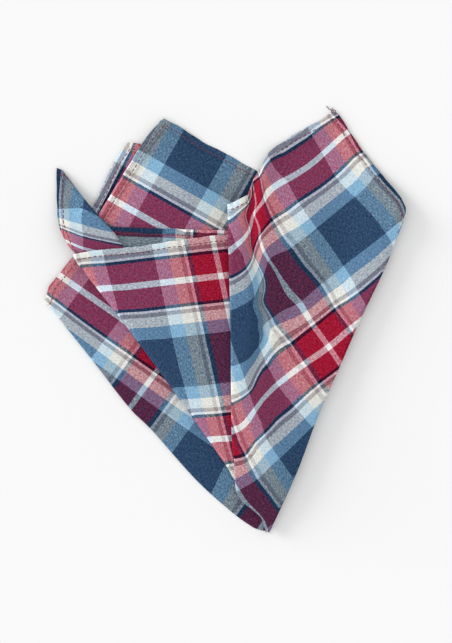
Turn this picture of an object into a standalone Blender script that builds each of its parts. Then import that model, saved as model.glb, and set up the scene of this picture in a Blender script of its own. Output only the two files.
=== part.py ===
"""A checked cotton pocket square, pinched at its centre and laid flat as a fan of folds.

One solid, the cloth with its hem, in metres with +Z up. The cloth runs back and forth in ten
leaves, joined by nine folds that all run down to the pinched point at the foot of the fan.
Each leaf lies on whatever is under it. The tables hold the plan seen from above, in
millimetres from the pinched point. The finished cloth is then moved so that its origin is
under the middle of its outline, on the surface that it lies on.
"""

import math
from typing import NamedTuple

import bmesh
import bpy
import numpy as np

MM = 0.001

# Driving dimensions, in millimetres
CLOTH_THICKNESS = 1.0
LAYER_PITCH = 1.3
SHELF_LENGTH = 5.0
DRAPE_LENGTH = 28.0
FOLD_DEPTH = 1.4
ROLL_HEIGHT = 1.4
ROLL_WIDTH = 5.0
HEM_STEP = 7.5

# Mesh fineness
STATIONS = 18
FOLD_STEPS = 4

CLOTH_COLOUR = (0.10, 0.16, 0.30, 1.0)
CLOTH_ROUGHNESS = 0.9


class Fold(NamedTuple):
    """A fold line or free side edge: its plan from the pinched end to the hem."""

    side: int  # +1 where the cloth turns back at its right, -1 at its left, 0 at a free edge
    tip: tuple
    heel: tuple
    middle: tuple
    hem: tuple


class Leaf(NamedTuple):
    """One flat run of cloth between two folds, and its hem from the first fold to the second."""

    first: str
    second: str
    rank: int  # 1 lies on the surface, 10 is on top
    hem: tuple


FOLDS = {
    "flap_edge": Fold(0, (1.0, 5.0), (-13.0, 40.0), (-77.9, 155.0), (-111.6, 198.6)),
    "flap_left": Fold(-1, (-2.2, 5.0), (-23.0, 46.0), (-65.0, 105.0), (-110.5, 161.5)),
    "front_right": Fold(1, (4.2, 0.6), (23.2, 52.2), (54.9, 122.0), (75.5, 171.2)),
    "front_left": Fold(-1, (-2.7, 0.6), (-17.5, 25.7), (-20.0, 102.8), (-21.6, 179.4)),
    "inner_right": Fold(1, (1.2, 5.0), (2.7, 29.0), (7.1, 83.7), (12.6, 163.6)),
    "wing_left": Fold(-1, (-5.2, 4.0), (-26.3, 43.2), (-70.6, 105.0), (-106.1, 151.0)),
    "back_right": Fold(1, (0.6, 1.5), (-9.0, 38.0), (-33.0, 112.0), (-62.1, 206.8)),
    "base_left": Fold(-1, (-5.5, 0.6), (-27.0, 17.0), (-81.0, 76.0), (-122.5, 128.3)),
    "base_right": Fold(1, (3.4, 3.0), (-5.0, 38.0), (-26.0, 112.0), (-45.9, 177.8)),
    "peak_left": Fold(-1, (-2.2, 5.0), (-20.0, 43.0), (-60.0, 108.0), (-97.9, 165.7)),
    "peak_edge": Fold(0, (1.5, 5.0), (11.0, 42.0), (32.0, 104.0), (52.8, 164.6)),
}

# In the order of the cloth, from one free side edge to the other
LEAVES = (
    Leaf("flap_edge", "flap_left", 7, ((-114.9, 199.4), (-114.9, 180.0))),
    Leaf("flap_left", "front_right", 6, ((-86.2, 166.0), (-21.6, 164.1), (18.1, 166.8))),
    Leaf(
        "front_right",
        "front_left",
        10,
        ((76.4, 176.1), (52.1, 208.8), (37.1, 230.6), (1.1, 208.0), (-4.9, 198.8), (-11.2, 183.8)),
    ),
    Leaf("front_left", "inner_right", 9, ()),
    Leaf("inner_right", "wing_left", 8, ((-52.7, 158.4), (-91.3, 152.7))),
    Leaf("wing_left", "back_right", 3, ((-94.9, 178.3), (-80.7, 205.8), (-73.5, 213.0))),
    Leaf("back_right", "base_left", 2, ((-105.8, 149.9),)),
    Leaf("base_left", "base_right", 1, ()),
    Leaf("base_right", "peak_left", 4, ()),
    Leaf("peak_left", "peak_edge", 5, ((-91.6, 175.0), (-65.6, 216.6), (-56.7, 226.5), (-7.3, 198.2))),
)

# The border of the top leaf rolls up along this line, from the hem down
ROLL_LINE = ((2.0, 205.0), (-5.0, 182.0), (-3.5, 155.0), (0.0, 103.0))


def smooth_step(share):
    """0 to 1 with level ends."""
    share = np.clip(share, 0.0, 1.0)
    return share * share * (3.0 - 2.0 * share)


def along_curve(points, shares):
    """Points at these shares of the length of a smooth curve through the given ones."""
    points = np.array(points, float)
    ends = np.vstack([2 * points[0] - points[1], points, 2 * points[-1] - points[-2]])
    steps = np.linspace(0.0, 1.0, 17)[:-1, None]
    runs = []
    for before, start, end, after in zip(ends, ends[1:], ends[2:], ends[3:]):
        leave = (end - before) / 2
        arrive = (after - start) / 2
        runs.append(
            (2 * steps**3 - 3 * steps**2 + 1) * start
            + (steps**3 - 2 * steps**2 + steps) * leave
            + (3 * steps**2 - 2 * steps**3) * end
            + (steps**3 - steps**2) * arrive
        )
    curve = np.vstack([*runs, points[-1:]])
    length = np.concatenate([[0.0], np.cumsum(np.linalg.norm(np.diff(curve, axis=0), axis=1))])
    wanted = np.asarray(shares) * length[-1]
    return np.stack([np.interp(wanted, length, curve[:, axis]) for axis in (0, 1)], axis=1)


def stations():
    """Shares of each fold's length, closer together near the pinched end."""
    steps = np.linspace(0.0, 1.0, STATIONS)
    return 0.65 * steps + 0.35 * steps**2


def fold_path(fold):
    return along_curve((fold.tip, fold.heel, fold.middle, fold.hem), stations())


def inward(path, side):
    """Unit vectors across a fold line, from its edge into the leaves."""
    run = np.gradient(path, axis=0)
    run /= np.linalg.norm(run, axis=1, keepdims=True)
    return side * np.stack([-run[:, 1], run[:, 0]], axis=1)


def hem_points(leaf):
    """The hem from fold to fold, with points added between its corners."""
    corners = np.array([FOLDS[leaf.first].hem, *leaf.hem, FOLDS[leaf.second].hem])
    points = [corners[:1]]
    for start, end in zip(corners, corners[1:]):
        count = max(1, round(float(np.linalg.norm(end - start)) / HEM_STEP))
        points.append(start + (end - start) * np.arange(1, count + 1)[:, None] / count)
    return np.vstack(points)


def leaf_plan(leaf, paths):
    """The leaf's grid in plan, one row a station and one column a hem point.

    Each column is a thread line that runs from the pinched end to its own place on the hem.
    """
    hem = hem_points(leaf)
    length = np.concatenate([[0.0], np.cumsum(np.linalg.norm(np.diff(hem, axis=0), axis=1))])
    share = (length / length[-1])[None, :, None]
    edges = []
    for name in (leaf.first, leaf.second):
        path = paths[name]
        if FOLDS[name].side:
            path = path + FOLD_DEPTH * inward(path, FOLDS[name].side)
        edges.append(path[:, None])
    straight = hem[0] + (hem[-1] - hem[0]) * share
    grown = stations()[:, None, None] * (hem[None] - straight)
    return edges[0] * (1 - share) + edges[1] * share + grown


def outline(leaf, paths):
    """The closed plan outline of a leaf."""
    return np.vstack([paths[leaf.first], hem_points(leaf)[1:-1], paths[leaf.second][::-1]])


def distance_outside(points, polygon):
    """How far each point lies outside a closed outline, and 0 within it."""
    start = polygon
    run = np.roll(polygon, -1, axis=0) - polygon
    offset = points[:, None] - start[None]
    share = np.clip((offset * run).sum(2) / np.maximum((run**2).sum(1), 1e-9), 0.0, 1.0)
    distance = np.linalg.norm(offset - share[..., None] * run, axis=2).min(axis=1)
    end = start + run
    spans = (start[:, 1] > points[:, None, 1]) != (end[:, 1] > points[:, None, 1])
    height = np.where(np.abs(run[:, 1]) < 1e-9, 1e-9, run[:, 1])
    crossing = start[:, 0] + (points[:, None, 1] - start[:, 1]) * run[:, 0] / height
    inside = (spans & (points[:, None, 0] < crossing)).sum(axis=1) % 2 == 1
    return np.where(inside, 0.0, distance)


def roll_rise(points):
    """How far the rolled border lifts the top leaf, fading out towards the pinched end."""
    line = along_curve(ROLL_LINE, np.linspace(0.0, 1.0, 24))
    gap = np.linalg.norm(points[:, None] - line[None], axis=2)
    fade = 1.0 - smooth_step(np.linspace(0.0, 1.0, len(line)))
    return ROLL_HEIGHT * (np.exp(-((gap / ROLL_WIDTH) ** 2)) * fade).max(axis=1)


def leaf_height(leaf, plan, outlines):
    """The height of the leaf's middle surface: one layer for each leaf that is under it."""
    points = plan.reshape(-1, 2)
    height = np.full(len(points), CLOTH_THICKNESS / 2)
    for under, polygon in zip(LEAVES, outlines):
        if under.rank < leaf.rank:
            gap = distance_outside(points, polygon) - SHELF_LENGTH
            height += LAYER_PITCH * smooth_step(1.0 - gap / DRAPE_LENGTH)
    if leaf.rank == len(LEAVES):
        height += roll_rise(points)
    return height.reshape(plan.shape[:2])


def fold_columns(above, below, side):
    """The columns round a fold, from one leaf's edge column to the next one's."""
    middle = (above + below) / 2
    half = (above - below) / 2
    depth = np.minimum(FOLD_DEPTH, np.abs(half[:, 2]))[:, None]
    outward = -inward(middle[:, :2], side)
    columns = []
    for angle in np.linspace(math.pi / 2, -math.pi / 2, FOLD_STEPS + 1)[1:-1]:
        column = middle + half * math.sin(angle)
        column[:, :2] += outward * depth * math.cos(angle)
        columns.append(column[:, None])
    return columns


def cloth_grid():
    """The whole back-and-forth sheet as one grid of points, in millimetres."""
    paths = {name: fold_path(fold) for name, fold in FOLDS.items()}
    outlines = [outline(leaf, paths) for leaf in LEAVES]
    columns = []
    for leaf in LEAVES:
        plan = leaf_plan(leaf, paths)
        surface = np.dstack([plan, leaf_height(leaf, plan, outlines)])
        if columns:
            columns += fold_columns(columns[-1][:, -1], surface[:, 0], FOLDS[leaf.first].side)
        columns.append(surface)
    return np.concatenate(columns, axis=1)


def sheet_mesh(name, grid):
    """An open surface through a grid of points."""
    mesh = bpy.data.meshes.new(name)
    shape = bmesh.new()
    rows = [[shape.verts.new(point) for point in row] for row in grid]
    for lower, upper in zip(rows, rows[1:]):
        for corner in range(len(lower) - 1):
            shape.faces.new(
                (lower[corner], upper[corner], upper[corner + 1], lower[corner + 1])
            )
    shape.to_mesh(mesh)
    shape.free()
    mesh.shade_smooth()
    return mesh


def cloth_material():
    material = bpy.data.materials.new("checked_cotton")
    material.use_nodes = True
    shader = material.node_tree.nodes["Principled BSDF"]
    shader.inputs["Base Color"].default_value = CLOTH_COLOUR
    shader.inputs["Roughness"].default_value = CLOTH_ROUGHNESS
    shader.inputs["Metallic"].default_value = 0.0
    return material


def make_cloth(collection):
    """The cloth, centred on its outline and resting on the surface."""
    grid = cloth_grid()
    outer = grid.reshape(-1, 3)
    centre = (outer.min(axis=0) + outer.max(axis=0)) / 2
    grid[..., :2] -= centre[:2]
    cloth = bpy.data.objects.new("cloth", sheet_mesh("cloth", grid * MM))
    cloth.data.materials.append(cloth_material())
    thicken = cloth.modifiers.new("thickness", "SOLIDIFY")
    thicken.thickness = CLOTH_THICKNESS * MM
    thicken.offset = 0.0
    collection.objects.link(cloth)


def main():
    for old in list(bpy.data.objects):
        bpy.data.objects.remove(old, do_unlink=True)
    collection = bpy.data.collections.new("pocket_square")
    bpy.context.scene.collection.children.link(collection)
    make_cloth(collection)


main()
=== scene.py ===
"""The looks of a checked cotton pocket square, pinched at its centre and laid out as a fan.

The cloth is one woven sheet that runs back and forth in ten leaves. The tables hold its plan
seen from above, in millimetres from the pinched point at the foot of the fan, and the places
of its threads. Every thread has its own number: the warp is counted in millimetres along the
cloth from one thin white stripe, and the weft from another. Two leaves show the same threads at
the fold that joins them, and round the fold itself the check runs on a little and comes back.
The turned hem shows the stripes that lie beside it, and on one leaf those past its edge.
"""

import math
from functools import lru_cache
from typing import NamedTuple

import bmesh
import bpy
import numpy as np
from bpy.props import FloatProperty, FloatVectorProperty, IntProperty, PointerProperty
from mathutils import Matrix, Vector


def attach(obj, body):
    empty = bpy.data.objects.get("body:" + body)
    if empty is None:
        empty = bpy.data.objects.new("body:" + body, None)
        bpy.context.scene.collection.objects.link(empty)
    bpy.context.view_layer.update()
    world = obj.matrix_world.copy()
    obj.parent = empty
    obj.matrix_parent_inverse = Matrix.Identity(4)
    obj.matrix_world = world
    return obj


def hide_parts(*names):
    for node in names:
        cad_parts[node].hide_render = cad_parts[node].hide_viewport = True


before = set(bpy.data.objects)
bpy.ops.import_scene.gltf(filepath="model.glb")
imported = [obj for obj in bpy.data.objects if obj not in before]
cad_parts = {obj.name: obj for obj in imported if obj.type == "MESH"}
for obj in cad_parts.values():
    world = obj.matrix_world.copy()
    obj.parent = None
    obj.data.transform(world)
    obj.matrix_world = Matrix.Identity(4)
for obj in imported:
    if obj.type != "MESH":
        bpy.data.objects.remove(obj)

bl_info = {
    "name": "Checked Pocket Square",
    "version": (1, 0, 0),
    "blender": (4, 5, 0),
    "location": "3D View > Sidebar > Pocket Square",
    "description": "Makes a folded pocket square in a woven check, with its stitched hem",
    "category": "Add Mesh",
}

MM = 0.001
BODY = "root"
CLOTH_NODE = "cloth"

PIXEL = 0.547  # millimetres on the floor in one pixel of the picture
PINCH_PIXEL = (267.0, 533.0)  # the pinched point in the picture
PINCH_PLACE = (23.36, -115.75)  # and in the frame, in millimetres
TINY = 1e-9  # keeps a divisor or the number in a logarithm above zero


class Fold(NamedTuple):
    """A fold line or free side edge: its plan from the pinched end to the hem."""

    side: int  # +1 where the cloth turns back at its right, -1 at its left, 0 at a free edge
    points: tuple


class Leaf(NamedTuple):
    """One flat run of cloth between two folds, and its hem from the first fold to the second."""

    first: str
    second: str
    rank: int  # 1 lies on the surface, 10 is on top
    step: float  # between the columns of its mesh at the hem
    hem: tuple


class Weave(NamedTuple):
    """How the threads run in a leaf: one place, its thread numbers, and their rise with x and y."""

    place: tuple
    threads: tuple
    warp_rise: tuple
    weft_rise: tuple


class ThreadRun(NamedTuple):
    """Where one thread runs over a leaf, in pixels of the picture."""

    yarn: str  # warp or weft
    number: float
    places: tuple  # x, y and the number of the thread that crosses it there


class Wave(NamedTuple):
    """A soft wave of the stack: radians a millimetre along x and along y, and its phase."""

    along_x: float
    along_y: float
    phase: float


class StitchCut(NamedTuple):
    """A cross-section of a stitch: its place, and its size and rise in radii of the thread."""

    share: float
    size: float
    rise: float


FOLDS = {
    "flap_edge": Fold(
        0,
        (
            (1.0, 5.0), (-13.0, 40.0), (-45.0, 98.0), (-78.2, 156.4),
            (-87.0, 167.9), (-97.9, 180.5), (-107.8, 193.1), (-111.6, 198.0),
        ),
    ),
    "flap_left": Fold(-1, ((-2.2, 5.0), (-23.0, 46.0), (-65.0, 105.0), (-109.0, 157.4))),
    "front_right": Fold(
        1,
        (
            (1.6, 0.4), (6.6, 11.5), (18.1, 37.7), (27.9, 64.0), (39.9, 90.3),
            (51.4, 116.5), (64.0, 142.8), (69.5, 155.9), (74.4, 170.0),
        ),
    ),
    "front_left": Fold(
        -1,
        (
            (-1.6, 0.4), (-2.7, 4.9), (-4.4, 8.5), (-7.1, 11.2), (-11.5, 14.8), (-15.3, 18.1),
            (-17.6, 23.5), (-18.2, 30.4), (-18.6, 39.4), (-20.0, 55.0), (-20.2, 102.8), (-21.6, 179.4),
        ),
    ),
    "inner_right": Fold(1, ((1.2, 5.0), (2.7, 29.0), (7.1, 83.7), (12.6, 163.6))),
    "wing_left": Fold(
        -1,
        (
            (-0.6, 4.0), (-5.5, 14.0), (-11.5, 22.5), (-18.0, 30.0),
            (-26.3, 43.2), (-70.6, 105.0), (-106.1, 151.0),
        ),
    ),
    "back_right": Fold(1, ((0.6, 1.5), (-9.0, 38.0), (-33.0, 112.0), (-62.1, 206.8))),
    "base_left": Fold(
        -1,
        (
            (-2.5, 0.3), (-8.8, 2.7), (-20.8, 11.5), (-39.9, 29.0), (-62.9, 55.2),
            (-76.0, 68.4), (-96.3, 94.6), (-113.8, 116.5), (-121.8, 127.0),
        ),
    ),
    "base_right": Fold(1, ((3.4, 3.0), (-5.0, 38.0), (-26.0, 112.0), (-45.9, 177.8))),
    "peak_left": Fold(-1, ((-2.2, 5.0), (-20.0, 43.0), (-60.0, 108.0), (-97.9, 165.7))),
    "peak_edge": Fold(0, ((1.5, 5.0), (11.0, 42.0), (32.0, 104.0), (52.8, 164.6))),
}

# In the order of the cloth, from one free side edge to the other, right side up and down in turn
LEAVES = (
    Leaf(
        "flap_edge",
        "flap_left",
        7,
        2.6,
        ((-114.9, 199.3), (-114.9, 173.9), (-114.3, 168.5), (-113.2, 164.6), (-111.4, 160.8)),
    ),
    Leaf("flap_left", "front_right", 6, 4.0, ((-86.2, 166.0), (-21.6, 164.1), (18.1, 166.8))),
    Leaf(
        "front_right",
        "front_left",
        10,
        1.6,
        (
            (76.4, 174.0), (76.4, 177.2), (73.8, 182.7), (68.9, 188.7), (57.4, 202.4), (52.5, 208.4),
            (43.2, 222.1), (38.8, 228.6), (37.5, 229.5), (35.0, 228.9), (29.0, 225.3), (17.0, 218.8),
            (3.8, 210.6), (0.5, 207.9), (-4.6, 199.3), (-8.2, 193.1), (-11.5, 184.3),
        ),
    ),
    Leaf("front_left", "inner_right", 9, 5.0, ()),
    Leaf(
        "inner_right",
        "wing_left",
        8,
        2.2,
        ((-21.3, 162.5), (-44.3, 159.7), (-64.0, 156.4), (-81.5, 154.3), (-95.0, 153.2)),
    ),
    Leaf(
        "wing_left",
        "back_right",
        3,
        4.0,
        ((-94.6, 178.3), (-88.1, 192.5), (-81.5, 204.6), (-78.2, 209.5), (-74.9, 213.3), (-68.4, 212.8)),
    ),
    Leaf("back_right", "base_left", 2, 3.0, ((-108.9, 147.1), (-119.8, 134.0))),
    Leaf("base_left", "base_right", 1, 6.0, ()),
    Leaf("base_right", "peak_left", 4, 6.0, ()),
    Leaf(
        "peak_left",
        "peak_edge",
        5,
        3.0,
        (
            (-91.6, 175.0), (-68.6, 212.4), (-62.4, 220.6), (-58.4, 224.9), (-57.0, 225.8),
            (-49.2, 221.5), (-36.1, 213.3), (-22.9, 206.6), (-9.6, 199.3),
        ),
    ),
)

# One row for each leaf with threads that run straight; the others run from fold to fold, or as
# the table after this one says
WEAVES = {
    1: Weave((-25.4, 164.1), (170.7, -75.5), (-0.932, 0.0), (0.0, -1.0)),
    4: Weave((-24.1, 134.9), (5.5, 93.3), (0.113, -0.959), (-0.982, -0.216)),
    5: Weave((-94.9, 178.3), (-17.5, 219.3), (0.888, -0.460), (0.460, 0.888)),
    6: Weave((-121.4, 128.5), (100.1, 259.6), (-0.571, -0.822), (-0.802, 0.601)),
    9: Weave((-56.9, 225.9), (305.2, 259.4), (0.471, 0.833), (-0.870, 0.492)),
}
FLAP_RUNS = (
    ThreadRun("warp", 562.0, ((57, 171, -147), (62.5, 171, -141))),
    ThreadRun("warp", 521.6, ((57, 209, -147), (69.5, 209, -124.3), (83, 209, -110.2))),
    ThreadRun("warp", 509.2, ((70, 222, -124.3),)),
    ThreadRun("warp", 494.4, ((62, 228, -141), (70, 231, -125), (80, 235, -114), (110, 242, -83))),
    ThreadRun("warp", 494.4, ((95, 239, -98), (118, 243.5, -75))),
    ThreadRun("warp", 468.0, ((70, 244, -128), (76, 246, -119), (85, 249, -109), (97, 252, -96))),
)
FRONT_RUNS = (
    ThreadRun("warp", -36.0, ((228.5, 206, 52.4), (246, 196.5, 31))),
    ThreadRun("warp", -31.2, ((334.5, 112.5, -145.5), (310, 126, -113), (278.5, 145.5, -76))),
    ThreadRun("warp", -26.4, ((310, 133.8, -109), (283, 151.5, -77), (269, 159.5, -60.3))),
    ThreadRun("warp", -26.4, ((259.5, 176, -29.5), (252, 182, 0), (236, 213, 46.2))),
    ThreadRun("warp", -17.5, ((273, 167, -60.3), (266, 174, -46.2))),
    ThreadRun("warp", 0.0, ((347.5, 132.5, -141), (323, 154, -110.2), (300, 172, -78))),
    ThreadRun("warp", 0.0, ((285.5, 180.5, -60.3), (272.5, 188.5, -46.2), (264.5, 199.5, -29.5))),
    ThreadRun("warp", 0.0, ((254, 213.5, 0), (249.8, 229.5, 29.5), (229, 250, 67))),
    ThreadRun("warp", 26.4, ((361, 154.5, -141), (340, 174, -115), (320, 190, -89), (299, 204, -60.3))),
    ThreadRun("warp", 26.4, ((274.5, 221.5, -29.5), (259.5, 237.5, 0), (247, 269, 60))),
    ThreadRun("warp", 26.4, ((240, 274.5, 69), (230, 279.5, 80))),
    ThreadRun("warp", 41.2, ((373, 164, -145.5), (358, 178, -124.3), (309, 219, -60.3))),
    ThreadRun("warp", 41.2, ((299, 226, -46.2), (272, 243.5, -13.5), (251.5, 281, 60.3))),
    ThreadRun("warp", 41.2, ((240, 291, 74), (230, 295.5, 86.5))),
    ThreadRun("warp", 53.6, ((366, 187, -124.3), (354.5, 197, -110.2), (316, 228.5, -60.3))),
    ThreadRun("warp", 53.6, ((307, 236, -46.2), (287.5, 250.5, -23.8), (268.5, 260.5, 0))),
    ThreadRun("warp", 53.6, ((254.3, 296, 60.3), (240, 305.3, 78), (230, 310, 92.5))),
    ThreadRun("warp", 102.4, ((397, 224.5, -124.3), (385.5, 233.5, -110.2), (343, 266.3, -60.3))),
    ThreadRun("warp", 102.4, ((299, 303, 0), (271.5, 318.5, 29.5), (262.5, 327, 46.2))),
    ThreadRun("warp", 102.4, ((258.7, 346, 60.3), (250, 357, 85), (237.5, 363.5, 110.2))),
    ThreadRun("warp", 114.8, ((392.5, 243, -110.2), (350, 277, -60.3), (341, 285, -46.2))),
    ThreadRun("warp", 114.8, ((268.5, 338.5, 46.2), (261, 350.5, 60.3))),
    ThreadRun("warp", 114.8, ((243.7, 378, 110.2), (232.5, 381.5, 125.5))),
    ThreadRun("warp", 129.6, ((380, 274.5, -92), (360, 290, -64), (334.5, 306.5, -29.5))),
    ThreadRun("warp", 129.6, ((312, 324, 0), (288.5, 342, 29.5), (262, 367, 68), (256, 377.5, 88))),
    ThreadRun("warp", 129.6, ((250, 389.5, 107), (236, 398, 127.5))),
    ThreadRun("warp", 156.0, ((352, 329, -29.5), (328.5, 347, 0), (303.5, 364, 29.5), (277, 384, 60.3))),
    ThreadRun("warp", 156.0, ((262, 399, 96), (252.5, 412, 114), (240, 426, 133), (233, 428.5, 141))),
    ThreadRun("warp", 182.4, ((319, 386, 29.5), (290, 411, 68), (277, 421.5, 91), (270, 429, 102))),
    ThreadRun("warp", 182.4, ((262, 436.5, 114), (256.5, 441.7, 124.3), (246, 455.5, 141))),
    ThreadRun("warp", 182.4, ((234, 459, 154),)),
    ThreadRun("warp", 209.6, ((313, 428, 62), (279, 458, 110.2), (270.5, 465, 124.3))),
    ThreadRun("warp", 209.6, ((258, 477.5, 141), (236.5, 490, 169))),
    ThreadRun("weft", -145.5, ((361.5, 150, 22), (393.5, 190, 70), (406.5, 210, 95))),
    ThreadRun("weft", -141.0, ((372.5, 171, 49), (388, 189.5, 66.5), (402, 206, 89))),
    ThreadRun("weft", -46.2, ((283.5, 207.5, 20.3),)),
    ThreadRun("weft", -29.5, ((262, 190, -7), (268.3, 209, 13), (286, 240, 46))),
    ThreadRun("weft", -23.7, ((298, 266, 75),)),
    ThreadRun("weft", 0.0, ((277, 273.5, 68), (286, 288, 84))),
    ThreadRun("weft", 29.5, ((248.3, 206, -22), (252.5, 254, 24), (262.5, 300, 72))),
    ThreadRun("weft", 46.2, ((243, 236, -3), (249.5, 255, 18))),
    ThreadRun("weft", 60.3, ((229, 233, -14.5), (237.5, 250, 6), (244, 264, 19.5))),
    ThreadRun("weft", 60.3, ((258, 321, 78), (259, 333, 90), (268.5, 367.5, 134))),
    ThreadRun("weft", 110.2, ((232, 352, 90),)),
    ThreadRun("weft", 124.3, ((250, 424, 161), (263, 455, 197.2))),
    ThreadRun("weft", 141.0, ((238, 442, 168), (279, 504, 243))),
    ThreadRun("weft", 170.5, ((244, 504, 229), (258, 519, 247), (267, 533, 262))),
)
THREAD_RUNS = {0: FLAP_RUNS, 2: FRONT_RUNS}
SPLINE_SCALE = 54.7  # millimetres in one unit of the smooth map through these places
SPLINE_SLACK = 0.00003  # how loosely the map keeps to them

# The weft of one leaf runs this much further on where it comes near the pinched end
SLIPPED_LEAF = 6
SLIP = 4.4
SLIP_START = 45.0  # distance from the pinched end at which it starts
SLIP_LENGTH = 32.0  # further distance over which it grows to its full size

# The leaf that sets the thread numbers along each fold, and the numbers along the hidden one
FOLD_OWNERS = {
    "flap_edge": 0,
    "flap_left": 0,
    "front_right": 2,
    "front_left": 2,
    "inner_right": 4,
    "wing_left": 4,
    "back_right": 6,
    "base_left": 6,
    "base_right": None,
    "peak_left": 9,
    "peak_edge": 9,
}
PINCH_THREADS = (145.0, 92.0)
BASE_HEM_THREADS = (184.3, 259.3)
FOLD_PULL = 14.0  # how far from a fold its own thread numbers count
EDGE_LIFT_START = 60.0  # distance from the pinched end at which a fold's lift is full
SQUEEZE_END = 80.0  # distance from the pinched end at which the layers lie at their full pitch

# Soft unevenness of the whole stack, and about the most that its waves add up to
WAVES = (
    Wave(0.061, 0.034, 0.4),
    Wave(-0.042, 0.071, 2.1),
    Wave(0.093, -0.028, 4.0),
    Wave(0.017, 0.112, 5.2),
)
WAVES_TOP = 2.6

# Ripples of the stitched edge: radians a millimetre along it, and phase
HEM_RIPPLES = ((0.55, 0.0), (0.23, 1.0))

# The bottom of the groove between the front leaf's band and its main panel, from the hem down
GROOVE_LINE = (
    (-6.6, 198.6), (-8.8, 173.9), (-9.0, 160.3), (-6.0, 138.4),
    (-3.3, 116.5), (-3.3, 105.6), (-7.1, 83.7), (-8.8, 61.8),
)
GROOVE_SAMPLES = 60
GROOVE_REACH = 3.6  # distance from the bottom at which its banks rise
BANK_REACH = 13.0  # distance from the bottom at which they have mostly died away
GROOVE_FADE = 0.6  # share of the line after which the banks sink towards its end

# Curled ends of yarn at the front leaf's top corner, with their heights
LOOSE_ENDS = (
    (
        (35.6, 228.2, 0.9), (35.2, 230.3, 1.0), (35.4, 231.2, 1.1),
        (36.4, 231.3, 1.2), (37.3, 231.0, 1.0), (37.5, 229.3, 0.8),
    ),
    ((36.6, 229.0, 0.7), (36.1, 231.0, 1.4), (35.7, 232.5, 0.9)),
    ((35.9, 229.0, 0.6), (35.2, 231.3, 0.8), (34.0, 231.7, 1.2), (33.1, 232.8, 0.9), (32.5, 233.3, 0.4)),
)

# Half of the check's repeat, out from the middle of a thin white stripe: yarn, and where it ends
WARP_STRIPES = (
    ("white", 1.53),
    ("red", 12.03),
    ("ink", 13.78),
    ("white", 15.10),
    ("grey", 17.18),
    ("cream", 22.54),
    ("blue", 29.32),
    ("navy", 42.67),
)
WEFT_STRIPES = (
    ("white", 1.42),
    ("red", 13.02),
    ("ink", 15.32),
    ("white", 16.96),
    ("grey", 19.15),
    ("cream", 25.27),
    ("blue", 32.98),
    ("navy", 46.63),
)

# Unevenness and relief of the yarns
CODING_GAMMA = 2.2  # between the picture's coded colours and linear ones
WEAVE_CONTRAST = 0.25  # how far the warp's share of the surface swings from yarn to yarn
NOISE_WIDTH = 0.8  # spots of noise across one yarn
NOISE_LENGTH = 3.5  # length of a spot along the yarn, in yarn widths
NOISE_MIDDLE = 1.04  # the value of both yarns' noise together that leaves their colour as it is
NOISE_RELIEF = 0.8  # relief of the noise against that of the weave
RELIEF_HEIGHT = 0.00006
RELIEF_STRENGTH = 0.5
COTTON_GLOSS = 0.05
TWIST_SCALE = 900.0  # fineness of the sewing thread's twist
TWIST_SHADES = (0.6, 1.5)  # its darkest and lightest parts against its colour
THREAD_ROUGHNESS = 0.6

# The stitches, from one end of each to the other
STITCH_CUTS = (
    StitchCut(0.0, 0.35, -0.5),
    StitchCut(0.12, 0.9, 0.1),
    StitchCut(0.5, 1.0, 0.35),
    StitchCut(0.88, 0.9, 0.1),
    StitchCut(1.0, 0.35, -0.5),
)

# Fineness of the meshes
CURVE_STEPS = 32  # pieces of a smooth curve between two of its points
EVEN_ROWS = 0.65  # share of the rows' spacing that is even; the rest crowds to the pinched end
OUTLINE_EVERY = 6  # rows of the mesh to one point of a leaf's rough outline
OUTLINE_STEP = 10.0  # distance between the points of that outline along the hem
NOSE_STEPS = 6  # faces round a fold
TURN_STEPS = 4  # faces round the hem's edge
HEM_ROWS = (0.2, 0.45, 0.7, 0.92, 1.0)  # rows of the turned hem, as shares of its width
HEM_LOOK = 3  # rows back from the hem that show which way the cloth runs there
LEAST_SLANT = 0.4  # least sine of the angle between those rows and the hem
FULL_TURN_LEAF = 1  # its turned hem shows the stripes past the edge, the others those beside it
TUBE_SIDES = 6
END_CUTS = 4  # cross-sections of a loose end for each of its points

FLOOR_SIZE = 6.0
FLOOR_ROUGHNESS = 0.9
FLOOR_GLOSS = 0.1
CAMERA_PLACE = (0.00093, -0.00006)


def metres(name, description, default):
    """A length that the user can set."""
    return FloatProperty(
        name=name, description=description, default=default, precision=5, unit="LENGTH"
    )


def factor(name, description, default, most=1.0):
    """A share that the user can set."""
    return FloatProperty(
        name=name, description=description, default=default, min=0.0, max=most, subtype="FACTOR"
    )


def amount(name, description, default):
    """A strength that the user can set."""
    return FloatProperty(name=name, description=description, default=default, min=0.0)


def degrees(name, description, default):
    """An angle that the user can set."""
    return FloatProperty(
        name=name, description=description, default=math.radians(default), unit="ROTATION"
    )


def linear_colour(name, description, default):
    """A colour that the user can set."""
    return FloatVectorProperty(name=name, description=description, default=default, subtype="COLOR")


def yarn_colour(name, description, default):
    """A yarn's colour that the user can set, coded as in the picture."""
    return FloatVectorProperty(
        name=name, description=description, default=default, subtype="COLOR_GAMMA"
    )


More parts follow.
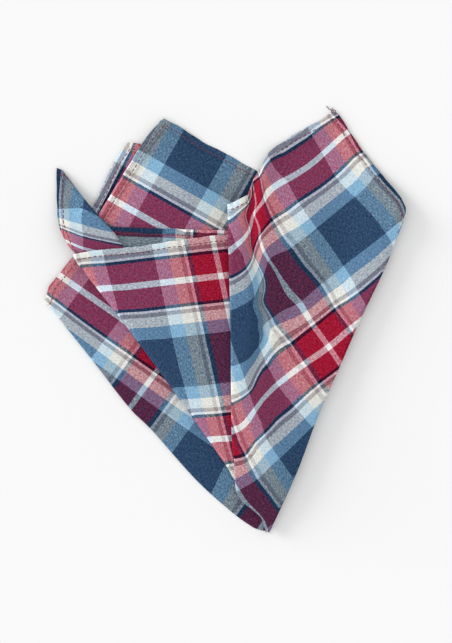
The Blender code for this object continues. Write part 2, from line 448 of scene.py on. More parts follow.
class CLOTH_PG_settings(bpy.types.PropertyGroup):
    """Sizes of the sheet and of its folds."""

    side: metres("Side", "Side of the square when it is laid flat", 0.33)
    thickness: metres("Thickness", "Thickness of one layer of the cotton", 0.00035)
    layer_pitch: metres("Layer Pitch", "Rise from one folded layer to the next", 0.0013)
    shelf: metres("Shelf", "How far a layer stays level past the edge of the one under it", 0.005)
    drape: metres("Drape", "Distance over which a layer then comes down to what is below", 0.028)
    fold_depth: metres(
        "Fold Depth", "How far a fold's round nose reaches past the flat of its two layers", 0.0014
    )
    hem_width: metres("Hem Width", "Width of the turned hem", 0.0044)
    hem_gap: metres(
        "Hem Gap", "Distance between the middles of the cloth and of its turned hem", 0.00042
    )
    hem_lift: metres("Hem Lift", "How far the turned hem lifts the cloth that lies on it", 0.0008)
    hem_wave: metres("Hem Wave", "How far the stitched edge strays from a clean line", 0.00025)
    bank_height: metres(
        "Bank Height", "How far the front leaf rises on both sides of its groove", 0.0028
    )
    pinch_squeeze: factor(
        "Pinch Squeeze", "How much closer the layers lie at the pinched end", 0.66, most=0.7
    )
    edge_lift: metres(
        "Edge Lift", "How far the front leaf's right fold stands off the floor", 0.0034
    )
    edge_reach: metres("Edge Reach", "Distance from that fold over which the lift dies away", 0.024)
    waviness: factor(
        "Waviness", "How uneven the stack of layers is, as a share of its height", 0.08, most=0.3
    )
    stations: IntProperty(
        name="Stations",
        description="Rows of the mesh between the pinched end and the hem",
        default=104,
        min=20,
    )


class CHECK_PG_settings(bpy.types.PropertyGroup):
    """Colours of the dyed yarns and fineness of the weave."""

    warp_white: yarn_colour("Warp White", "White yarn of the warp", (0.88, 0.865, 0.875))
    warp_red: yarn_colour("Warp Red", "Red yarn of the warp", (0.615, 0.158, 0.253))
    warp_navy: yarn_colour("Warp Navy", "Navy yarn of the warp", (0.162, 0.248, 0.343))
    warp_ink: yarn_colour(
        "Warp Ink", "Darkest yarn of the warp, in the thin lines beside the red", (0.07, 0.12, 0.21)
    )
    warp_grey: yarn_colour("Warp Grey", "Grey yarn of the warp", (0.56, 0.53, 0.54))
    warp_cream: yarn_colour("Warp Cream", "Cream yarn of the warp", (0.848, 0.849, 0.830))
    warp_blue: yarn_colour("Warp Light Blue", "Light blue yarn of the warp", (0.425, 0.578, 0.695))
    weft_white: yarn_colour("Weft White", "White yarn of the weft", (0.88, 0.875, 0.87))
    weft_red: yarn_colour("Weft Red", "Red yarn of the weft", (0.52, 0.04, 0.13))
    weft_navy: yarn_colour("Weft Navy", "Navy yarn of the weft", (0.230, 0.312, 0.430))
    weft_ink: yarn_colour(
        "Weft Ink", "Darkest yarn of the weft, in the thin lines beside the red", (0.10, 0.16, 0.25)
    )
    weft_grey: yarn_colour("Weft Grey", "Grey yarn of the weft", (0.60, 0.57, 0.55))
    weft_cream: yarn_colour("Weft Cream", "Cream yarn of the weft", (0.818, 0.821, 0.783))
    weft_blue: yarn_colour("Weft Light Blue", "Light blue yarn of the weft", (0.590, 0.752, 0.861))
    warp_share: factor("Warp Share", "Share of the surface that the warp covers", 0.6)
    melange: amount("Melange", "How unevenly the warp and the weft show where they cross", 0.7)
    speckle: amount("Speckle", "How uneven the brightness of the yarns is", 0.27)
    yarn_pitch: metres("Yarn Pitch", "Distance from one yarn to the next", 0.00042)
    roughness: factor("Roughness", "Roughness of the cotton", 0.88)


class THREAD_PG_settings(bpy.types.PropertyGroup):
    """Sizes and colour of the sewing thread."""

    colour: linear_colour("Colour", "Colour of the sewing thread", (0.14, 0.014, 0.032))
    diameter: metres("Diameter", "Thickness of the sewing thread", 0.00044)
    end_colour: linear_colour("End Colour", "Colour of the loose ends of yarn", (0.14, 0.08, 0.10))
    end_diameter: metres("End Diameter", "Thickness of the loose ends of yarn", 0.00045)
    stitch_length: metres("Stitch Length", "Length of one stitch", 0.0023)
    stitch_gap: metres(
        "Stitch Gap", "Gap between two stitches, where the thread goes through the cloth", 0.0006
    )
    inset: metres("Inset", "Distance of the stitches from the hem's edge", 0.0030)


class STAGE_PG_settings(bpy.types.PropertyGroup):
    """Camera, lights and floor."""

    view_height: metres(
        "View Height", "Height of the floor area in the picture, from its lower edge up", 0.3517
    )
    camera_distance: metres("Camera Distance", "Height of the camera above the floor", 1.4)
    floor_colour: linear_colour("Floor Colour", "Colour of the floor", (0.80, 0.80, 0.80))
    sky: amount("Sky", "Strength of the even light from all round", 0.98)
    key: amount("Key Light", "Strength of the wide, low light from the left", 2.9)
    key_height: degrees("Key Height", "Angle of that light above the floor", 13.0)
    key_turn: degrees(
        "Key Turn", "Direction that it comes from, seen from above and counted from the right", 157.0
    )
    key_spread: degrees(
        "Key Spread", "Angle that the light seems wide, which softens its shadows", 29.0
    )


def smooth_step(share):
    """0 to 1 with level ends."""
    share = np.clip(share, 0.0, 1.0)
    return share * share * (3.0 - 2.0 * share)


def unit(vectors):
    return vectors / np.maximum(np.linalg.norm(vectors, axis=-1, keepdims=True), TINY)


def run_length(points, axis=0):
    """How far along its line each point is, where the lines of points run along this axis."""
    steps = np.linalg.norm(np.diff(points, axis=axis), axis=-1)
    start = np.zeros_like(np.take(steps, [0], axis))
    return np.concatenate([start, np.cumsum(steps, axis)], axis)


def arc_shares(points):
    length = run_length(points)
    return length / length[-1]


def sample(places, length, values):
    """The values at these places along a line, from those at its points."""
    return np.stack([np.interp(places, length, column) for column in values.T], axis=1)


def along_curve(points, shares):
    """Points at these shares of the length of a smooth curve through the given ones."""
    points = np.array(points, float)
    ends = np.vstack([2 * points[0] - points[1], points, 2 * points[-1] - points[-2]])
    steps = np.linspace(0.0, 1.0, CURVE_STEPS + 1)[:-1, None]
    runs = []
    for before, start, end, after in zip(ends, ends[1:], ends[2:], ends[3:]):
        leave = (end - before) / 2
        arrive = (after - start) / 2
        runs.append(
            (2 * steps**3 - 3 * steps**2 + 1) * start
            + (steps**3 - 2 * steps**2 + steps) * leave
            + (3 * steps**2 - 2 * steps**3) * end
            + (steps**3 - steps**2) * arrive
        )
    curve = np.vstack([*runs, points[-1:]])
    length = run_length(curve)
    return sample(np.asarray(shares) * length[-1], length, curve)


def station_shares(count):
    """Shares of each fold's length, closer together near the pinched end."""
    steps = np.linspace(0.0, 1.0, count)
    return EVEN_ROWS * steps + (1.0 - EVEN_ROWS) * steps**2


def inward(path, side):
    """Unit vectors across a fold line, from its edge into the leaves."""
    run = unit(np.gradient(path, axis=0))
    return side * np.stack([-run[:, 1], run[:, 0]], axis=1)


def hem_points(leaf, step, wave=0.0):
    """The hem from fold to fold, with points added between its corners, a little wavy."""
    corners = np.array([FOLDS[leaf.first].points[-1], *leaf.hem, FOLDS[leaf.second].points[-1]])
    points = [corners[:1]]
    for start, end in zip(corners, corners[1:]):
        count = max(1, round(float(np.linalg.norm(end - start)) / step))
        points.append(start + (end - start) * np.arange(1, count + 1)[:, None] / count)
    line = np.vstack(points)
    place = run_length(line)
    stray = sum(np.sin(rate * place + phase) for rate, phase in HEM_RIPPLES) / len(HEM_RIPPLES)
    stray = wave * stray * np.sin(math.pi * place / place[-1])
    return line + inward(line, 1) * stray[:, None]


def leaf_plan(leaf, paths, shares, sizes):
    """The leaf's grid in plan, one row a station and one column a hem point."""
    depth = sizes.fold_depth / MM
    hem = hem_points(leaf, leaf.step, sizes.hem_wave / MM)
    share = arc_shares(hem)[None, :, None]
    edges = []
    for name in (leaf.first, leaf.second):
        path = paths[name]
        if FOLDS[name].side:
            path = path + depth * inward(path, FOLDS[name].side)
        edges.append(path[:, None])
    straight = hem[0] + (hem[-1] - hem[0]) * share
    grown = shares[:, None, None] * (hem[None] - straight)
    return edges[0] * (1 - share) + edges[1] * share + grown


def outline(leaf, paths):
    """The closed plan outline of a leaf, with few points."""
    up = paths[leaf.first][::OUTLINE_EVERY]
    down = paths[leaf.second][::-OUTLINE_EVERY]
    return np.vstack([up, hem_points(leaf, OUTLINE_STEP), down])


def distance_outside(points, polygon):
    """How far each point lies outside a closed outline, and 0 within it."""
    start = polygon
    run = np.roll(polygon, -1, axis=0) - polygon
    offset = points[:, None] - start[None]
    share = np.clip((offset * run).sum(2) / np.maximum((run**2).sum(1), TINY), 0.0, 1.0)
    distance = np.linalg.norm(offset - share[..., None] * run, axis=2).min(axis=1)
    end = start + run
    spans = (start[:, 1] > points[:, None, 1]) != (end[:, 1] > points[:, None, 1])
    height = np.where(np.abs(run[:, 1]) < TINY, TINY, run[:, 1])
    crossing = start[:, 0] + (points[:, None, 1] - start[:, 1]) * run[:, 0] / height
    inside = (spans & (points[:, None, 0] < crossing)).sum(axis=1) % 2 == 1
    return np.where(inside, 0.0, distance)


def nearest_on(points, line):
    """The distance of each point from the nearest sample of a line, and which one it is."""
    gaps = np.linalg.norm(points[:, None] - line[None], axis=2)
    nearest = gaps.argmin(axis=1)
    return gaps[np.arange(len(points)), nearest], nearest


def groove_banks(points):
    """The rise beside the groove: none in its bottom, and dying away above and towards the pinch."""
    shares = np.linspace(0.0, 1.0, GROOVE_SAMPLES)
    gap, nearest = nearest_on(points, along_curve(GROOVE_LINE, shares))
    banks = np.exp(-((gap / BANK_REACH) ** 2)) - np.exp(-((gap / GROOVE_REACH) ** 2))
    fade = smooth_step((shares - GROOVE_FADE) / (1.0 - GROOVE_FADE))
    return banks * (1.0 - fade)[nearest]


def waves(points):
    """Soft unevenness of the whole stack, between about -1 and 1."""
    x, y = points.T
    total = sum(np.sin(x * wave.along_x + y * wave.along_y + wave.phase) for wave in WAVES)
    return total / WAVES_TOP


def leaf_height(leaf, plan, outlines, sizes):
    """The height of the leaf's middle surface: one layer for each leaf that is under it."""
    points = plan.reshape(-1, 2)
    right_side_up = LEAVES.index(leaf) % 2 == 0
    base = sizes.thickness / MM / 2
    height = np.full(len(points), base)
    for under, polygon in zip(LEAVES, outlines):
        if under.rank < leaf.rank:
            gap = distance_outside(points, polygon) - sizes.shelf / MM
            height += sizes.layer_pitch / MM * smooth_step(1.0 - gap / (sizes.drape / MM))
    height *= 1.0 + sizes.waviness * waves(points)
    squeeze = 1.0 - sizes.pinch_squeeze * (1.0 - smooth_step(points[:, 1] / SQUEEZE_END))
    height = base + (height - base) * squeeze
    if leaf.rank == len(LEAVES):
        height += sizes.bank_height / MM * groove_banks(points)
    if right_side_up:
        gap, _ = nearest_on(points, plan[-1])
        past_hem = gap / (sizes.hem_width / MM) - 1.0
        height += sizes.hem_lift / MM * (1.0 - smooth_step(past_hem))
    if "front_right" in (leaf.first, leaf.second):
        edge = plan[:, 0] if leaf.first == "front_right" else plan[:, -1]
        gap, _ = nearest_on(points, edge)
        fade = smooth_step(points[:, 1] / EDGE_LIFT_START)
        height += sizes.edge_lift / MM * fade * np.exp(-((gap / (sizes.edge_reach / MM)) ** 2))
    return height.reshape(plan.shape[:2])


def threads_at(weave, plan):
    """The warp and weft numbers at these places of a leaf."""
    offset = plan - np.array(weave.place)
    rises = np.array([weave.warp_rise, weave.weft_rise])
    return np.array(weave.threads) + offset @ rises.T


class Spline:
    """A smooth map of the plane that comes close to known values at known places."""

    def __init__(self, places, values):
        self.places = places / SPLINE_SCALE
        level = np.column_stack([np.ones(len(places)), self.places])
        bends = self.bends(self.places) + SPLINE_SLACK * np.eye(len(places))
        system = np.block([[bends, level], [level.T, np.zeros((3, 3))]])
        self.weights = np.linalg.solve(system, np.vstack([values, np.zeros((3, 2))]))

    def bends(self, points):
        squared = ((points[:, None] - self.places[None]) ** 2).sum(axis=2)
        return 0.5 * squared * np.log(np.maximum(squared, TINY))

    def at(self, points):
        flat = points.reshape(-1, 2) / SPLINE_SCALE
        terms = np.column_stack([self.bends(flat), np.ones(len(flat)), flat])
        return (terms @ self.weights).reshape(points.shape)


@lru_cache(maxsize=None)
def leaf_spline(index):
    """The threads of a leaf that bends its check, from where they cross in the picture."""
    rows = []
    for run in THREAD_RUNS[index]:
        for x, y, other in run.places:
            numbers = (run.number, other) if run.yarn == "warp" else (other, run.number)
            rows.append((x - PINCH_PIXEL[0], PINCH_PIXEL[1] - y, *numbers))
    table = np.array(rows) * PIXEL
    return Spline(table[:, :2], table[:, 2:])


def plain_threads(index, plan):
    if index in THREAD_RUNS:
        return leaf_spline(index).at(plan)
    numbers = threads_at(WEAVES[index], plan)
    if index == SLIPPED_LEAF:
        numbers[..., 1] += SLIP * smooth_step((SLIP_START - plan[..., 1]) / SLIP_LENGTH)
    return numbers


def fold_threads(name, path, shares):
    owner = FOLD_OWNERS[name]
    if owner is not None:
        return plain_threads(owner, path)
    pinch = np.array(PINCH_THREADS)
    return pinch + shares[:, None] * (np.array(BASE_HEM_THREADS) - pinch)


def leaf_threads(index, leaf, plan, along_folds):
    """The leaf's threads, brought to the numbers that its two folds have."""
    first, second = along_folds[leaf.first][:, None], along_folds[leaf.second][:, None]
    share = arc_shares(plan[-1])[None, :, None]
    if index not in THREAD_RUNS and index not in WEAVES:
        return first * (1 - share) + second * share
    own = plain_threads(index, plan)
    near_first = np.linalg.norm(plan - plan[:, :1], axis=2, keepdims=True) / FOLD_PULL
    near_second = np.linalg.norm(plan - plan[:, -1:], axis=2, keepdims=True) / FOLD_PULL
    pull_first = (1 - share) * (1 - smooth_step(near_first))
    pull_second = share * (1 - smooth_step(near_second))
    return own + pull_first * (first - own[:, :1]) + pull_second * (second - own[:, -1:])


def fold_columns(above, below, side, depth):
    """The columns round a fold, from one leaf's edge column to the next one's."""
    middle = (above + below) / 2
    half = (above - below) / 2
    reach = np.minimum(depth, np.abs(half[:, 2]))[:, None]
    outward = -inward(middle[:, :2], side)
    columns = []
    for angle in np.linspace(math.pi / 2, -math.pi / 2, NOSE_STEPS + 1)[1:-1]:
        column = middle + half * math.sin(angle)
        column[:, :2] += outward * reach * math.cos(angle)
        columns.append(column[:, None])
    return columns


def past_edge(surface, numbers, edge, inner):
    """How fast the thread numbers rise across a leaf's edge column, from the one inside it."""
    width = np.linalg.norm(surface[:, edge] - surface[:, inner], axis=1, keepdims=True)
    return (numbers[:, edge] - numbers[:, inner]) / np.maximum(width, TINY)


def nose_threads(path, before, after, rise):
    """The threads round a fold: they go on past the upper leaf's edge, and then come back."""
    place = run_length(path, axis=1)[..., None]
    whole = np.maximum(place[:, -1:], TINY)
    place = place[:, 1:-1]
    numbers = before + (after - before) * place / whole
    numbers = numbers + rise[:, None] * np.minimum(place, whole - place)
    return [numbers[:, [column]] for column in range(numbers.shape[1])]


def cloth_grid(sizes):
    """The sheet as one grid of points and thread numbers, in millimetres, and each column's leaf."""
    shares = station_shares(sizes.stations)
    depth = sizes.fold_depth / MM
    paths = {}
    for name, fold in FOLDS.items():
        paths[name] = along_curve(fold.points, shares)
    outlines = [outline(leaf, paths) for leaf in LEAVES]
    along_folds = {name: fold_threads(name, paths[name], shares) for name in FOLDS}
    columns = []
    threads = []
    owners = []
    for index, leaf in enumerate(LEAVES):
        plan = leaf_plan(leaf, paths, shares, sizes)
        surface = np.dstack([plan, leaf_height(leaf, plan, outlines, sizes)])
        numbers = leaf_threads(index, leaf, plan, along_folds)
        if columns:
            nose = fold_columns(columns[-1][:, -1], surface[:, 0], FOLDS[leaf.first].side, depth)
            if LEAVES[index - 1].rank > leaf.rank:
                rise = past_edge(columns[-1], threads[-1], -1, -2)
            else:
                rise = past_edge(surface, numbers, 0, 1)
            path = np.concatenate([columns[-1][:, -1:], *nose, surface[:, :1]], axis=1)
            threads += nose_threads(path, threads[-1][:, -1:], numbers[:, :1], rise)
            columns += nose
            owners += [index] * len(nose)
        columns.append(surface)
        threads.append(numbers)
        owners += [index] * surface.shape[1]
    return np.concatenate(columns, axis=1), np.concatenate(threads, axis=1), np.array(owners)


def surface_normals(grid):
    """Unit normals on the cloth's right side."""
    down = np.gradient(grid, axis=0)
    across = np.gradient(grid, axis=1)
    return unit(np.cross(down, across))


class HemEdge(NamedTuple):
    """What is needed to lay something along the hem."""

    grid: np.ndarray
    threads: np.ndarray
    normals: np.ndarray
    tangent: np.ndarray  # along the hem
    outward: np.ndarray  # across the hem, away from the cloth
    slant: np.ndarray  # the sine of the angle between the hem and the lines that run to it


def hem_edge(grid, threads):
    tangent = unit(np.gradient(grid[-1], axis=0))
    leave = unit(grid[-1] - grid[-1 - HEM_LOOK])
    lean = (leave * tangent).sum(axis=1, keepdims=True)
    slant = np.sqrt(np.maximum(1.0 - lean**2, LEAST_SLANT**2))
    outward = unit(leave - lean * tangent)
    return HemEdge(grid, threads, surface_normals(grid), tangent, outward, slant[:, 0])


def inside_hem(edge, depth):
    """Points, thread numbers and normals at this distance from the hem's edge."""
    length = run_length(edge.grid[::-1])
    found = []
    for values in (edge.grid, edge.threads, edge.normals):
        lines = zip(depth / edge.slant, length.T, values[::-1].swapaxes(0, 1))
        found.append(np.vstack([sample([place], run, line) for place, run, line in lines]))
    return found[0], found[1], unit(found[2])


def turned_hem(edge, owners, sizes):
    """The rows that carry the cloth round its edge and back along the wrong side."""
    width = sizes.hem_width / MM
    gap = sizes.hem_gap / MM
    rows = []
    numbers = []
    wrong = -edge.normals[-1]
    inner, inner_threads, _ = inside_hem(edge, width)
    lean = ((edge.grid[-1] - inner) * edge.tangent).sum(axis=1, keepdims=True)
    spread = np.linalg.norm(np.gradient(edge.grid[-1], axis=0), axis=1, keepdims=True)
    sideways = lean * np.gradient(edge.threads[-1], axis=0) / np.maximum(spread, TINY)
    rise = (edge.threads[-1] - inner_threads - sideways) / width
    rise = np.where((owners == FULL_TURN_LEAF)[:, None], rise, 0.0)
    for angle in np.linspace(0.0, math.pi, TURN_STEPS + 1)[1:]:
        swing = edge.outward * math.sin(angle) + wrong * (1 - math.cos(angle))
        rows.append(edge.grid[-1] + swing * gap / 2)
        numbers.append(edge.threads[-1] + rise * gap * angle / 2)
    for part in HEM_ROWS:
        points, marks, normal = inside_hem(edge, width * part)
        rows.append(points - normal * gap)
        numbers.append(marks + rise * 2 * width * part)
    return np.stack(rows), np.stack(numbers)


def sheet_mesh(name, grid, threads):
    """An open surface through a grid of points, with the thread numbers as its UV map."""
    mesh = bpy.data.meshes.new(name)
    rows, columns = grid.shape[:2]
    index = np.arange(rows * columns).reshape(rows, columns)
    faces = np.stack([index[:-1, :-1], index[1:, :-1], index[1:, 1:], index[:-1, 1:]], axis=2)
    faces = faces.reshape(-1, 4)
    mesh.from_pydata(grid.reshape(-1, 3), [], faces.tolist())
    layer = mesh.uv_layers.new(name="threads")
    layer.uv.foreach_set("vector", threads.reshape(-1, 2)[faces.ravel()].ravel())
    mesh.shade_smooth()
    return mesh


def to_world(points):
    """From millimetres round the pinched point to metres round the frame's origin."""
    placed = np.array(points, float)
    placed[..., :2] += PINCH_PLACE
    return placed * MM


class Nodes:
    """Adds shader nodes to a material, each wired as it is made."""

    def __init__(self, material):
        material.use_nodes = True
        self.tree = material.node_tree
        self.shader = self.tree.nodes["Principled BSDF"]

    def add(self, kind, **settings):
        node = self.tree.nodes.new(kind)
        for name, value in settings.items():
            setattr(node, name, value)
        return node

    def wire(self, value, socket):
        if isinstance(value, bpy.types.NodeSocket):
            self.tree.links.new(value, socket)
        else:
            socket.default_value = value

    def math(self, operation, *values):
        node = self.add("ShaderNodeMath", operation=operation)
        for value, socket in zip(values, node.inputs):
            self.wire(value, socket)
        return node.outputs[0]

    def mix(self, factor, first, second, blend="MIX"):
        node = self.add("ShaderNodeMix", data_type="RGBA", blend_type=blend)
        self.wire(factor, node.inputs[0])
        self.wire(first, node.inputs[6])
        self.wire(second, node.inputs[7])
        return node.outputs[2]


def stripes(nodes, number, table, colours):
    """The colour of the yarn with this number."""
    half = table[-1][1] * MM
    away = nodes.math("PINGPONG", number, half)
    ramp = nodes.add("ShaderNodeValToRGB")
    ramp.color_ramp.interpolation = "CONSTANT"
    starts = [0.0] + [end * MM / half for _, end in table[:-1]]
    elements = ramp.color_ramp.elements
    while len(elements) < len(table):
        elements.new(0.5)
    for element, start, (yarn, _) in zip(elements, starts, table):
        element.position = start
        element.color = (*colours[yarn], 1.0)
    nodes.wire(nodes.math("DIVIDE", away, half), ramp.inputs[0])
    return ramp.outputs[0]


def yarn_noise(nodes, across, along, pitch):
    """Unevenness of each yarn, long along it and as wide as the yarn across it."""
    place = nodes.add("ShaderNodeCombineXYZ")
    nodes.wire(nodes.math("MULTIPLY", across, NOISE_WIDTH / pitch), place.inputs[0])
    nodes.wire(nodes.math("MULTIPLY", along, 1.0 / (pitch * NOISE_LENGTH)), place.inputs[1])
    noise = nodes.add("ShaderNodeTexNoise")
    noise.inputs["Scale"].default_value = 1.0
    nodes.wire(place.outputs[0], noise.inputs["Vector"])
    return noise.outputs[0]


def cotton_material(check):
    """Yarn-dyed plain weave: both yarns' stripes, their melange, and the relief of the weave."""
    material = bpy.data.materials.new("checked_cotton")
    nodes = Nodes(material)
    uv = nodes.add("ShaderNodeUVMap", uv_map="threads")
    split = nodes.add("ShaderNodeSeparateXYZ")
    nodes.wire(uv.outputs[0], split.inputs[0])
    warp, weft = split.outputs[0], split.outputs[1]
    yarns = ("white", "red", "ink", "navy", "grey", "cream", "blue")
    warp_colours = {yarn: getattr(check, "warp_" + yarn) for yarn in yarns}
    weft_colours = {yarn: getattr(check, "weft_" + yarn) for yarn in yarns}
    warp_colour = stripes(nodes, warp, WARP_STRIPES, warp_colours)
    weft_colour = stripes(nodes, weft, WEFT_STRIPES, weft_colours)

    pitch = check.yarn_pitch
    warp_wave = nodes.math("SINE", nodes.math("MULTIPLY", warp, math.pi / pitch))
    weft_wave = nodes.math("SINE", nodes.math("MULTIPLY", weft, math.pi / pitch))
    over = nodes.math("MULTIPLY", warp_wave, weft_wave)
    warp_noise = yarn_noise(nodes, warp, weft, pitch)
    weft_noise = yarn_noise(nodes, weft, warp, pitch)
    even_share = nodes.math("MULTIPLY_ADD", over, WEAVE_CONTRAST, check.warp_share)
    unlike = nodes.math("SUBTRACT", warp_noise, weft_noise)
    share = nodes.math("MULTIPLY_ADD", unlike, check.melange, even_share)
    mixed = nodes.mix(share, weft_colour, warp_colour)

    noise = nodes.math("ADD", warp_noise, weft_noise)
    tone = nodes.math("MULTIPLY_ADD", noise, check.speckle, -NOISE_MIDDLE * check.speckle)
    grey = nodes.add("ShaderNodeCombineColor")
    for socket in grey.inputs[:3]:
        nodes.wire(tone, socket)
    mottled = nodes.mix(1.0, mixed, grey.outputs[0], "ADD")
    decode = nodes.add("ShaderNodeGamma")
    nodes.wire(mottled, decode.inputs[0])
    decode.inputs[1].default_value = CODING_GAMMA
    nodes.wire(decode.outputs[0], nodes.shader.inputs["Base Color"])

    relief = nodes.math("MULTIPLY_ADD", noise, NOISE_RELIEF, over)
    bump = nodes.add("ShaderNodeBump")
    bump.inputs["Strength"].default_value = RELIEF_STRENGTH
    bump.inputs["Distance"].default_value = RELIEF_HEIGHT
    nodes.wire(relief, bump.inputs["Height"])
    nodes.wire(bump.outputs[0], nodes.shader.inputs["Normal"])
    nodes.shader.inputs["Roughness"].default_value = check.roughness
    nodes.shader.inputs["Specular IOR Level"].default_value = COTTON_GLOSS
    return material


def thread_material(name, thread_colour):
    """Twisted thread, a little glossier than the cotton."""
    material = bpy.data.materials.new(name)
    nodes = Nodes(material)
    place = nodes.add("ShaderNodeTexCoord")
    noise = nodes.add("ShaderNodeTexNoise")
    noise.inputs["Scale"].default_value = TWIST_SCALE
    nodes.wire(place.outputs["Object"], noise.inputs["Vector"])
    dark, light = ([min(1.0, shade * part) for part in thread_colour] for shade in TWIST_SHADES)
    colour = nodes.mix(noise.outputs[0], (*dark, 1.0), (*light, 1.0))
    nodes.wire(colour, nodes.shader.inputs["Base Color"])
    nodes.shader.inputs["Roughness"].default_value = THREAD_ROUGHNESS
    return material


def floor_material(stage):
    material = bpy.data.materials.new("pale_floor")
    nodes = Nodes(material)
    nodes.shader.inputs["Base Color"].default_value = (*stage.floor_colour, 1.0)
    nodes.shader.inputs["Roughness"].default_value = FLOOR_ROUGHNESS
    nodes.shader.inputs["Specular IOR Level"].default_value = FLOOR_GLOSS
    return material


def link_piece(name, mesh, material):
    piece = bpy.data.objects.new(name, mesh)
    mesh.materials.append(material)
    bpy.context.scene.collection.objects.link(piece)
    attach(piece, BODY)
    return piece


def hem_route(edge, sizes, thread, right_side):
    """Where the row of stitches runs on one side of the cloth, and the way out of the cloth."""
    points, _, normals = inside_hem(edge, thread.inset / MM)
    if right_side:
        return points + normals * (sizes.thickness / MM / 2), normals
    return points - normals * ((sizes.hem_gap + sizes.thickness / 2) / MM), -normals


def stitch_rows(route, normals, length, gap):
    """The start, middle and end of each stitch along the route, and the way out of the cloth."""
    along = run_length(route)
    starts = np.arange(gap, along[-1] - length, length + gap)
    middles = starts + length / 2
    found = [sample(places, along, route) for places in (starts, middles, starts + length)]
    return found, unit(sample(middles, along, normals))


def add_tube(shape, centres, radii, outward):
    """A closed round thread through these centres."""
    rings = []
    for place, (centre, radius) in enumerate(zip(centres, radii)):
        before = centres[max(place - 1, 0)]
        after = centres[min(place + 1, len(centres) - 1)]
        side = (after - before).cross(outward).normalized()
        up = side.cross(after - before).normalized()
        ring = []
        for turn in range(TUBE_SIDES):
            angle = turn * 2 * math.pi / TUBE_SIDES
            spoke = side * math.cos(angle) + up * math.sin(angle)
            ring.append(shape.verts.new(centre + spoke * radius))
        rings.append(ring)
    for lower, upper in zip(rings, rings[1:]):
        for turn in range(TUBE_SIDES):
            after = (turn + 1) % TUBE_SIDES
            shape.faces.new((lower[turn], lower[after], upper[after], upper[turn]))
    shape.faces.new(rings[0][::-1])
    shape.faces.new(rings[-1])


def add_stitch(shape, ends, outward, radius):
    """One stitch: a short thread that rises out of the cloth and goes back into it."""
    start, middle, end = (Vector(point) for point in ends)
    if (end - start).length < radius:
        return
    up = Vector(outward)
    centres = []
    for cut in STITCH_CUTS:
        if cut.share < 0.5:
            centre = start.lerp(middle, cut.share * 2)
        else:
            centre = middle.lerp(end, cut.share * 2 - 1)
        centres.append(centre + up * cut.rise * radius)
    add_tube(shape, centres, [cut.size * radius for cut in STITCH_CUTS], up)


def mesh_from(name, shape):
    """A smooth mesh from the threads that were built in shape, pressed flat where it lies."""
    for corner in shape.verts:
        corner.co.z = max(corner.co.z, 0.0)
    mesh = bpy.data.meshes.new(name)
    shape.to_mesh(mesh)
    shape.free()
    mesh.shade_smooth()
    return mesh


class SQUARE_OT_cloth(bpy.types.Operator):
    """Add the folded sheet with its turned hem"""

    bl_idname = "pocket_square.cloth"
    bl_label = "Cloth"

    def execute(self, context):
        sizes = context.scene.pocket_square_cloth
        grid, threads, owners = cloth_grid(sizes)
        rows, numbers = turned_hem(hem_edge(grid, threads), owners, sizes)
        grid = np.concatenate([grid, rows])
        threads = np.concatenate([threads, numbers])
        grid[..., 2] = np.maximum(grid[..., 2], sizes.thickness / MM / 2)
        mesh = sheet_mesh("pocket_square_cloth", to_world(grid), threads * MM)
        material = cotton_material(context.scene.pocket_square_check)
        cloth = link_piece("pocket_square_cloth", mesh, material)
        thicken = cloth.modifiers.new("thickness", "SOLIDIFY")
        thicken.thickness = sizes.thickness
        thicken.offset = 0.0
        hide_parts(CLOTH_NODE)
        return {"FINISHED"}


class SQUARE_OT_stitches(bpy.types.Operator):
    """Add the rows of stitches that hold the hem"""

    bl_idname = "pocket_square.stitches"
    bl_label = "Hem Stitches"

    def execute(self, context):
        sizes = context.scene.pocket_square_cloth
        thread = context.scene.pocket_square_thread
        grid, threads, _ = cloth_grid(sizes)
        edge = hem_edge(grid, threads)
        shape = bmesh.new()
        for right_side in (True, False):
            route, normals = hem_route(edge, sizes, thread, right_side)
            ends, outward = stitch_rows(
                to_world(route), normals, thread.stitch_length, thread.stitch_gap
            )
            for start, middle, end, out in zip(*ends, outward):
                add_stitch(shape, (start, middle, end), out, thread.diameter / 2)
        material = thread_material("sewing_thread", thread.colour)
        link_piece("hem_stitches", mesh_from("hem_stitches", shape), material)
        return {"FINISHED"}


class SQUARE_OT_loose_ends(bpy.types.Operator):
    """Add the curled ends of yarn at the front leaf's top corner"""

    bl_idname = "pocket_square.loose_ends"
    bl_label = "Loose Ends"

    def execute(self, context):
        thread = context.scene.pocket_square_thread
        radius = thread.end_diameter / 2
        shape = bmesh.new()
        for points in LOOSE_ENDS:
            shares = np.linspace(0.0, 1.0, END_CUTS * len(points))
            route = to_world(along_curve(points, shares))
            route[:, 2] = np.maximum(route[:, 2], radius)
            centres = [Vector(point) for point in route]
            add_tube(shape, centres, [radius] * len(centres), Vector((0.0, 0.0, 1.0)))
        material = thread_material("yarn_ends", thread.end_colour)
        link_piece("loose_ends", mesh_from("loose_ends", shape), material)
        return {"FINISHED"}


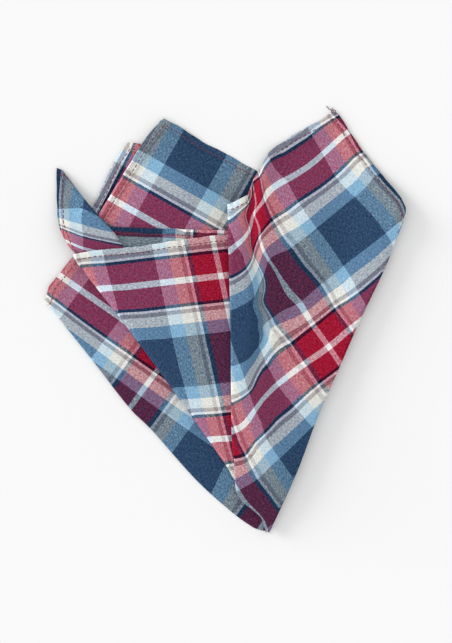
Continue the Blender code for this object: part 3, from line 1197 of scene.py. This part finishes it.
class SQUARE_OT_stage(bpy.types.Operator):
    """Add the floor, the lights and the camera above"""

    bl_idname = "pocket_square.stage"
    bl_label = "Stage"

    def execute(self, context):
        stage = context.scene.pocket_square_stage
        bpy.ops.mesh.primitive_plane_add(size=FLOOR_SIZE, location=(0.0, 0.0, 0.0))
        floor = context.object
        floor.name = "floor"
        floor.data.materials.append(floor_material(stage))

        world = bpy.data.worlds.new("studio")
        world.use_nodes = True
        world.node_tree.nodes["Background"].inputs["Strength"].default_value = stage.sky
        world.node_tree.nodes["Background"].inputs["Color"].default_value = (1, 1, 1, 1)
        context.scene.world = world

        lamp = bpy.data.lights.new("key", "SUN")
        lamp.energy = stage.key
        lamp.angle = stage.key_spread
        key = bpy.data.objects.new("key", lamp)
        level = math.cos(stage.key_height)
        key.location = (
            level * math.cos(stage.key_turn),
            level * math.sin(stage.key_turn),
            math.sin(stage.key_height),
        )
        key.rotation_euler = (-key.location).to_track_quat("-Z", "Y").to_euler()
        context.scene.collection.objects.link(key)

        lens = bpy.data.cameras.new("overhead")
        lens.sensor_fit = "VERTICAL"
        lens.angle_y = 2 * math.atan(stage.view_height / 2 / stage.camera_distance)
        camera = bpy.data.objects.new("overhead", lens)
        camera.location = (*CAMERA_PLACE, stage.camera_distance)
        context.scene.collection.objects.link(camera)
        context.scene.camera = camera
        context.scene.view_settings.view_transform = "Standard"
        return {"FINISHED"}


# The panel's boxes: a group of settings, and the operators that use it
PANEL_ROWS = (
    ("pocket_square_cloth", ("pocket_square.cloth",)),
    ("pocket_square_check", ()),
    ("pocket_square_thread", ("pocket_square.stitches", "pocket_square.loose_ends")),
    ("pocket_square_stage", ("pocket_square.stage",)),
)


class SQUARE_PT_panel(bpy.types.Panel):
    """The pocket square's settings and steps"""

    bl_idname = "SQUARE_PT_panel"
    bl_label = "Pocket Square"
    bl_space_type = "VIEW_3D"
    bl_region_type = "UI"
    bl_category = "Pocket Square"

    def draw(self, context):
        for group, operators in PANEL_ROWS:
            box = self.layout.box()
            settings = getattr(context.scene, group)
            for name in settings.__annotations__:
                box.prop(settings, name)
            for operator in operators:
                box.operator(operator)


GROUPS = {
    "pocket_square_cloth": CLOTH_PG_settings,
    "pocket_square_check": CHECK_PG_settings,
    "pocket_square_thread": THREAD_PG_settings,
    "pocket_square_stage": STAGE_PG_settings,
}
OPERATORS = (SQUARE_OT_cloth, SQUARE_OT_stitches, SQUARE_OT_loose_ends, SQUARE_OT_stage)
CLASSES = (*GROUPS.values(), *OPERATORS, SQUARE_PT_panel)


def register():
    for item in CLASSES:
        bpy.utils.register_class(item)
    for name, group in GROUPS.items():
        setattr(bpy.types.Scene, name, PointerProperty(type=group))


def unregister():
    for name in GROUPS:
        delattr(bpy.types.Scene, name)
    for item in reversed(CLASSES):
        bpy.utils.unregister_class(item)


def main():
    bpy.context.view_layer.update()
    register()
    bpy.ops.pocket_square.cloth()
    bpy.ops.pocket_square.stitches()
    bpy.ops.pocket_square.loose_ends()
    bpy.ops.pocket_square.stage()


if __name__ == "__main__":
    main()
